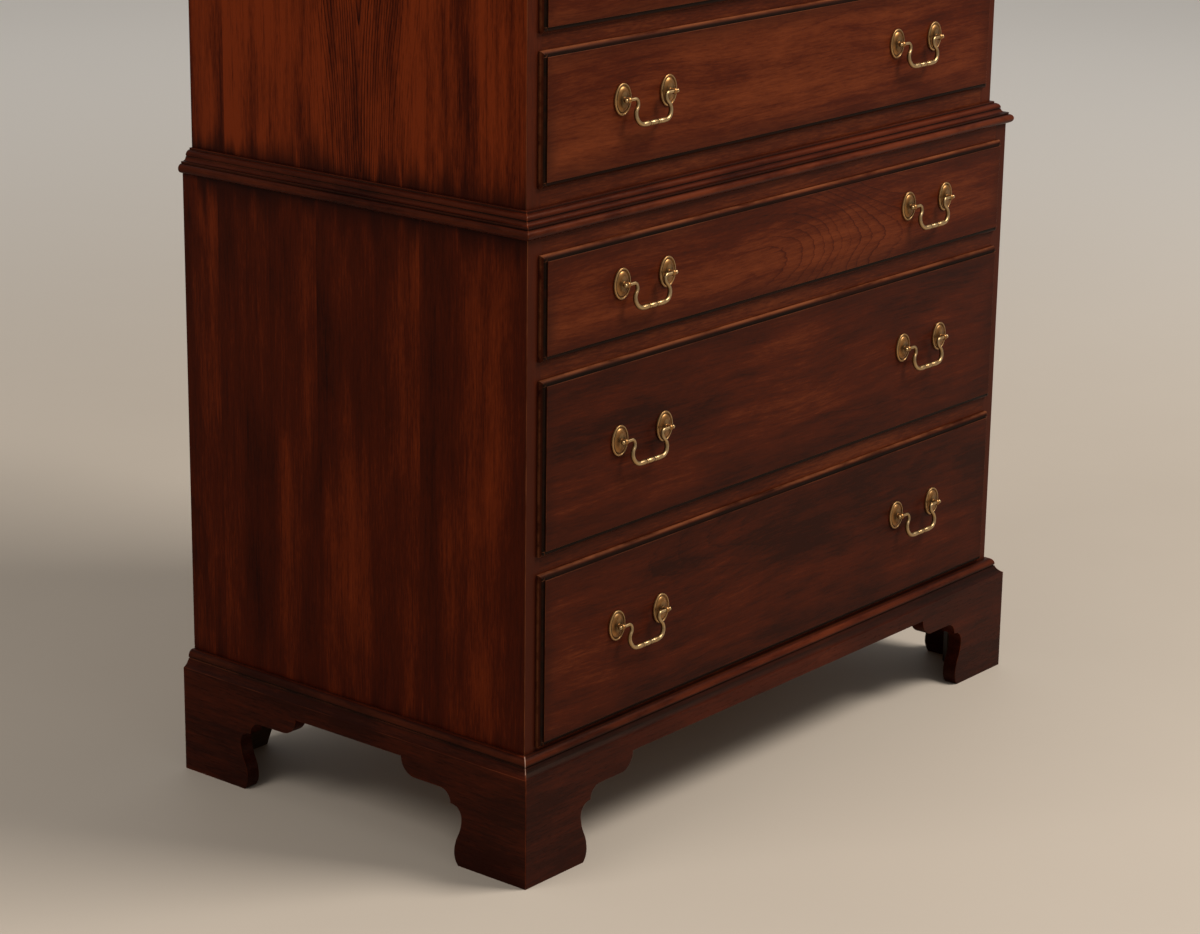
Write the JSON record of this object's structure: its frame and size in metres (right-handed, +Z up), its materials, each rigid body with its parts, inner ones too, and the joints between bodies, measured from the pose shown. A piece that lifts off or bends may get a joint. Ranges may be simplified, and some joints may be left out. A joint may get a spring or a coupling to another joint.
{
  "type": "tall chest of drawers",
  "caption": "Tall two-case chest of drawers on a scrolled bracket base, with lipped sliding drawers, swinging bail pulls, a waist moulding and a cornice.",
  "frame": {"origin": "on the floor, under the middle of the object's box", "axes": "+X to the right as seen from the front, -Y to the front, +Z up"},
  "size_m": [0.925, 0.5273, 1.3719],
  "materials": {
    "cherry": "satin lacquer over a red-brown stain",
    "secondary_wood": "bare, sanded",
    "antique_brass": "antiqued and lacquered"
  },
  "bodies": {
    "chest": {"cornice_moulding": "cherry", "foot_glue_blocks": "secondary_wood", "lower_back_panel": "secondary_wood", "lower_front_rails": "cherry", "lower_left_side": "cherry", "lower_right_side": "cherry", "lower_runner_frames": "secondary_wood", "lower_top_board": "secondary_wood", "plinth_front": "cherry", "plinth_left": "cherry", "plinth_right": "cherry", "rear_foot_brackets": "secondary_wood", "small_drawer_divider": "cherry", "upper_back_panel": "secondary_wood", "upper_front_rails": "cherry", "upper_left_side": "cherry", "upper_right_side": "cherry", "upper_runner_frames": "secondary_wood", "upper_top_board": "cherry", "waist_moulding": "cherry"},
    "lower_drawer_1": {"lower_drawer_1_box": "secondary_wood", "lower_drawer_1_front": "cherry", "lower_drawer_1_pull_posts": "antique_brass"},
    "lower_drawer_1_left_bail": {"lower_drawer_1_left_bail": "antique_brass"},
    "lower_drawer_1_right_bail": {"lower_drawer_1_right_bail": "antique_brass"},
    "lower_drawer_2": {"lower_drawer_2_box": "secondary_wood", "lower_drawer_2_front": "cherry", "lower_drawer_2_pull_posts": "antique_brass"},
    "lower_drawer_2_left_bail": {"lower_drawer_2_left_bail": "antique_brass"},
    "lower_drawer_2_right_bail": {"lower_drawer_2_right_bail": "antique_brass"},
    "lower_drawer_3": {"lower_drawer_3_box": "secondary_wood", "lower_drawer_3_front": "cherry", "lower_drawer_3_pull_posts": "antique_brass"},
    "lower_drawer_3_left_bail": {"lower_drawer_3_left_bail": "antique_brass"},
    "lower_drawer_3_right_bail": {"lower_drawer_3_right_bail": "antique_brass"},
    "upper_drawer_1": {"upper_drawer_1_box": "secondary_wood", "upper_drawer_1_front": "cherry", "upper_drawer_1_pull_posts": "antique_brass"},
    "upper_drawer_1_left_bail": {"upper_drawer_1_left_bail": "antique_brass"},
    "upper_drawer_1_right_bail": {"upper_drawer_1_right_bail": "antique_brass"},
    "upper_drawer_2": {"upper_drawer_2_box": "secondary_wood", "upper_drawer_2_front": "cherry", "upper_drawer_2_pull_posts": "antique_brass"},
    "upper_drawer_2_left_bail": {"upper_drawer_2_left_bail": "antique_brass"},
    "upper_drawer_2_right_bail": {"upper_drawer_2_right_bail": "antique_brass"},
    "upper_drawer_3": {"upper_drawer_3_box": "secondary_wood", "upper_drawer_3_front": "cherry", "upper_drawer_3_pull_posts": "antique_brass"},
    "upper_drawer_3_left_bail": {"upper_drawer_3_left_bail": "antique_brass"},
    "upper_drawer_3_right_bail": {"upper_drawer_3_right_bail": "antique_brass"},
    "small_left_drawer": {"small_left_drawer_box": "secondary_wood", "small_left_drawer_front": "cherry", "small_left_drawer_pull_posts": "antique_brass"},
    "small_left_drawer_bail": {"small_left_drawer_bail": "antique_brass"},
    "small_right_drawer": {"small_right_drawer_box": "secondary_wood", "small_right_drawer_front": "cherry", "small_right_drawer_pull_posts": "antique_brass"},
    "small_right_drawer_bail": {"small_right_drawer_bail": "antique_brass"}
  },
  "joints": [
    {"name": "lower_drawer_1_slide", "type": "slide", "parent": "chest", "child": "lower_drawer_1", "axis": [0, -1, 0], "range_m": [0, 0.35]},
    {"name": "lower_drawer_1_left_bail_swing", "type": "hinge", "parent": "lower_drawer_1", "child": "lower_drawer_1_left_bail", "pos_m": [-0.265, -0.25635, 0.6325], "axis": [-1, 0, 0], "range_deg": [-20.4, 182.4]},
    {"name": "lower_drawer_1_right_bail_swing", "type": "hinge", "parent": "lower_drawer_1", "child": "lower_drawer_1_right_bail", "pos_m": [0.265, -0.25635, 0.6325], "axis": [-1, 0, 0], "range_deg": [-20.4, 182.4]},
    {"name": "lower_drawer_2_slide", "type": "slide", "parent": "chest", "child": "lower_drawer_2", "axis": [0, -1, 0], "range_m": [0, 0.35]},
    {"name": "lower_drawer_2_left_bail_swing", "type": "hinge", "parent": "lower_drawer_2", "child": "lower_drawer_2_left_bail", "pos_m": [-0.265, -0.25635, 0.46175], "axis": [-1, 0, 0], "range_deg": [-20.4, 182.4]},
    {"name": "lower_drawer_2_right_bail_swing", "type": "hinge", "parent": "lower_drawer_2", "child": "lower_drawer_2_right_bail", "pos_m": [0.265, -0.25635, 0.46175], "axis": [-1, 0, 0], "range_deg": [-20.4, 182.4]},
    {"name": "lower_drawer_3_slide", "type": "slide", "parent": "chest", "child": "lower_drawer_3", "axis": [0, -1, 0], "range_m": [0, 0.35]},
    {"name": "lower_drawer_3_left_bail_swing", "type": "hinge", "parent": "lower_drawer_3", "child": "lower_drawer_3_left_bail", "pos_m": [-0.265, -0.25635, 0.254], "axis": [-1, 0, 0], "range_deg": [-20.4, 182.4]},
    {"name": "lower_drawer_3_right_bail_swing", "type": "hinge", "parent": "lower_drawer_3", "child": "lower_drawer_3_right_bail", "pos_m": [0.265, -0.25635, 0.254], "axis": [-1, 0, 0], "range_deg": [-20.4, 182.4]},
    {"name": "upper_drawer_1_slide", "type": "slide", "parent": "chest", "child": "upper_drawer_1", "axis": [0, -1, 0], "range_m": [0, 0.34]},
    {"name": "upper_drawer_1_left_bail_swing", "type": "hinge", "parent": "upper_drawer_1", "child": "upper_drawer_1_left_bail", "pos_m": [-0.25, -0.24135, 1.1179], "axis": [-1, 0, 0], "range_deg": [-20.4, 182.4]},
    {"name": "upper_drawer_1_right_bail_swing", "type": "hinge", "parent": "upper_drawer_1", "child": "upper_drawer_1_right_bail", "pos_m": [0.25, -0.24135, 1.1179], "axis": [-1, 0, 0], "range_deg": [-20.4, 182.4]},
    {"name": "upper_drawer_2_slide", "type": "slide", "parent": "chest", "child": "upper_drawer_2", "axis": [0, -1, 0], "range_m": [0, 0.34]},
    {"name": "upper_drawer_2_left_bail_swing", "type": "hinge", "parent": "upper_drawer_2", "child": "upper_drawer_2_left_bail", "pos_m": [-0.25, -0.24135, 0.9759], "axis": [-1, 0, 0], "range_deg": [-20.4, 182.4]},
    {"name": "upper_drawer_2_right_bail_swing", "type": "hinge", "parent": "upper_drawer_2", "child": "upper_drawer_2_right_bail", "pos_m": [0.25, -0.24135, 0.9759], "axis": [-1, 0, 0], "range_deg": [-20.4, 182.4]},
    {"name": "upper_drawer_3_slide", "type": "slide", "parent": "chest", "child": "upper_drawer_3", "axis": [0, -1, 0], "range_m": [0, 0.34]},
    {"name": "upper_drawer_3_left_bail_swing", "type": "hinge", "parent": "upper_drawer_3", "child": "upper_drawer_3_left_bail", "pos_m": [-0.25, -0.24135, 0.82315], "axis": [-1, 0, 0], "range_deg": [-20.4, 182.4]},
    {"name": "upper_drawer_3_right_bail_swing", "type": "hinge", "parent": "upper_drawer_3", "child": "upper_drawer_3_right_bail", "pos_m": [0.25, -0.24135, 0.82315], "axis": [-1, 0, 0], "range_deg": [-20.4, 182.4]},
    {"name": "small_left_drawer_slide", "type": "slide", "parent": "chest", "child": "small_left_drawer", "axis": [0, -1, 0], "range_m": [0, 0.34]},
    {"name": "small_left_drawer_bail_swing", "type": "hinge", "parent": "small_left_drawer", "child": "small_left_drawer_bail", "pos_m": [-0.21063, -0.24135, 1.2489], "axis": [-1, 0, 0], "range_deg": [-20.4, 182.4]},
    {"name": "small_right_drawer_slide", "type": "slide", "parent": "chest", "child": "small_right_drawer", "axis": [0, -1, 0], "range_m": [0, 0.34]},
    {"name": "small_right_drawer_bail_swing", "type": "hinge", "parent": "small_right_drawer", "child": "small_right_drawer_bail", "pos_m": [0.21063, -0.24135, 1.2489], "axis": [-1, 0, 0], "range_deg": [-20.4, 182.4]}
  ]
}
